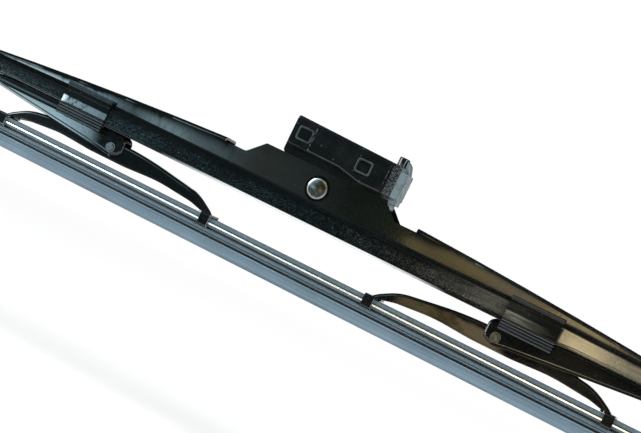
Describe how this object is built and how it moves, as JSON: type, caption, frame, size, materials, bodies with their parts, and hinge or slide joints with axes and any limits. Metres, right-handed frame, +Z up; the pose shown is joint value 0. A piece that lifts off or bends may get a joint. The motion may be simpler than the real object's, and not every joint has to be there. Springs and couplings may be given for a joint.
{
  "type": "wiper blade",
  "caption": "Framed windscreen wiper blade: riveted steel bridge, levers and clawed yokes hold a rubber strip, with a plastic adapter for the arm.",
  "frame": {"origin": "Middle of the flat seat in the adapter's socket, where the tongue of the wiper arm rests, straight above the centre rivet.", "axes": "+X along the blade, from the end of the adapter where the arm slides in towards the end with the release button; +Z up, away from the glass; -Y is the side that the picture shows."},
  "size_m": [0.65, 0.0178, 0.0684],
  "materials": {
    "black_paint": "gloss black paint on pressed steel, finely speckled",
    "bright_steel": "worn bright rivet head",
    "dark_steel": "black painted rivet",
    "adapter_plastic": "semi-matt black moulding",
    "clip_plastic": "satin black extrusion with flutes",
    "squeegee_rubber": "graphite-coated rubber with a blue-grey sheen",
    "spline_steel": "bright rolled steel strip"
  },
  "bodies": {
    "adapter": {"adapter_carrier": "adapter_plastic", "adapter_cover": "adapter_plastic", "adapter_nose": "adapter_plastic"},
    "button": {"latch_button": "adapter_plastic"},
    "bridge": {"main_bridge": "black_paint", "centre_rivet": "bright_steel", "left_guide_clip": "clip_plastic", "right_guide_clip": "clip_plastic", "left_lever_rivet": "dark_steel", "right_lever_rivet": "dark_steel", "left_front_bush": "clip_plastic", "left_back_bush": "clip_plastic", "right_front_bush": "clip_plastic", "right_back_bush": "clip_plastic", "wiping_rubber": "squeegee_rubber", "front_spline": "spline_steel", "back_spline": "spline_steel"},
    "left_lever": {"left_lever": "black_paint", "left_inner_rivet": "dark_steel", "left_outer_rivet": "dark_steel"},
    "left_inner_yoke": {"left_inner_yoke": "black_paint"},
    "left_outer_yoke": {"left_outer_yoke": "black_paint"},
    "right_lever": {"right_lever": "black_paint", "right_inner_rivet": "dark_steel", "right_outer_rivet": "dark_steel"},
    "right_inner_yoke": {"right_inner_yoke": "black_paint"},
    "right_outer_yoke": {"right_outer_yoke": "black_paint"}
  },
  "joints": [
    {"name": "bridge_pivot", "type": "hinge", "parent": "adapter", "child": "bridge", "pos_m": [0, 0, -0.0128], "axis": [0, 1, 0], "range_deg": [-2.5, 10]},
    {"name": "button_press", "type": "slide", "parent": "adapter", "child": "button", "axis": [0, 0, 1], "range_m": [-0.002, 0], "stiffness_N_per_m": 250, "springref_m": 0.002},
    {"name": "left_lever_pivot", "type": "hinge", "parent": "bridge", "child": "left_lever", "pos_m": [-0.177, 0, -0.0254], "axis": [0, 1, 0], "range_deg": [-5, 5], "stiffness_Nm_per_rad": 0.3, "deforming": ["wiping_rubber", "front_spline", "back_spline"]},
    {"name": "left_inner_yoke_pivot", "type": "hinge", "parent": "left_lever", "child": "left_inner_yoke", "pos_m": [-0.0897, 0, -0.0346], "axis": [0, 1, 0], "range_deg": [-8, 8], "stiffness_Nm_per_rad": 0.1, "deforming": ["wiping_rubber", "front_spline", "back_spline"]},
    {"name": "left_outer_yoke_pivot", "type": "hinge", "parent": "left_lever", "child": "left_outer_yoke", "pos_m": [-0.2643, 0, -0.0346], "axis": [0, 1, 0], "range_deg": [-8, 8], "stiffness_Nm_per_rad": 0.1, "deforming": ["wiping_rubber", "front_spline", "back_spline"]},
    {"name": "right_lever_pivot", "type": "hinge", "parent": "bridge", "child": "right_lever", "pos_m": [0.177, 0, -0.0254], "axis": [0, 1, 0], "range_deg": [-5, 5], "stiffness_Nm_per_rad": 0.3, "deforming": ["wiping_rubber", "front_spline", "back_spline"]},
    {"name": "right_inner_yoke_pivot", "type": "hinge", "parent": "right_lever", "child": "right_inner_yoke", "pos_m": [0.0897, 0, -0.0346], "axis": [0, 1, 0], "range_deg": [-8, 8], "stiffness_Nm_per_rad": 0.1, "deforming": ["wiping_rubber", "front_spline", "back_spline"]},
    {"name": "right_outer_yoke_pivot", "type": "hinge", "parent": "right_lever", "child": "right_outer_yoke", "pos_m": [0.2643, 0, -0.0346], "axis": [0, 1, 0], "range_deg": [-8, 8], "stiffness_Nm_per_rad": 0.1, "deforming": ["wiping_rubber", "front_spline", "back_spline"]}
  ]
}
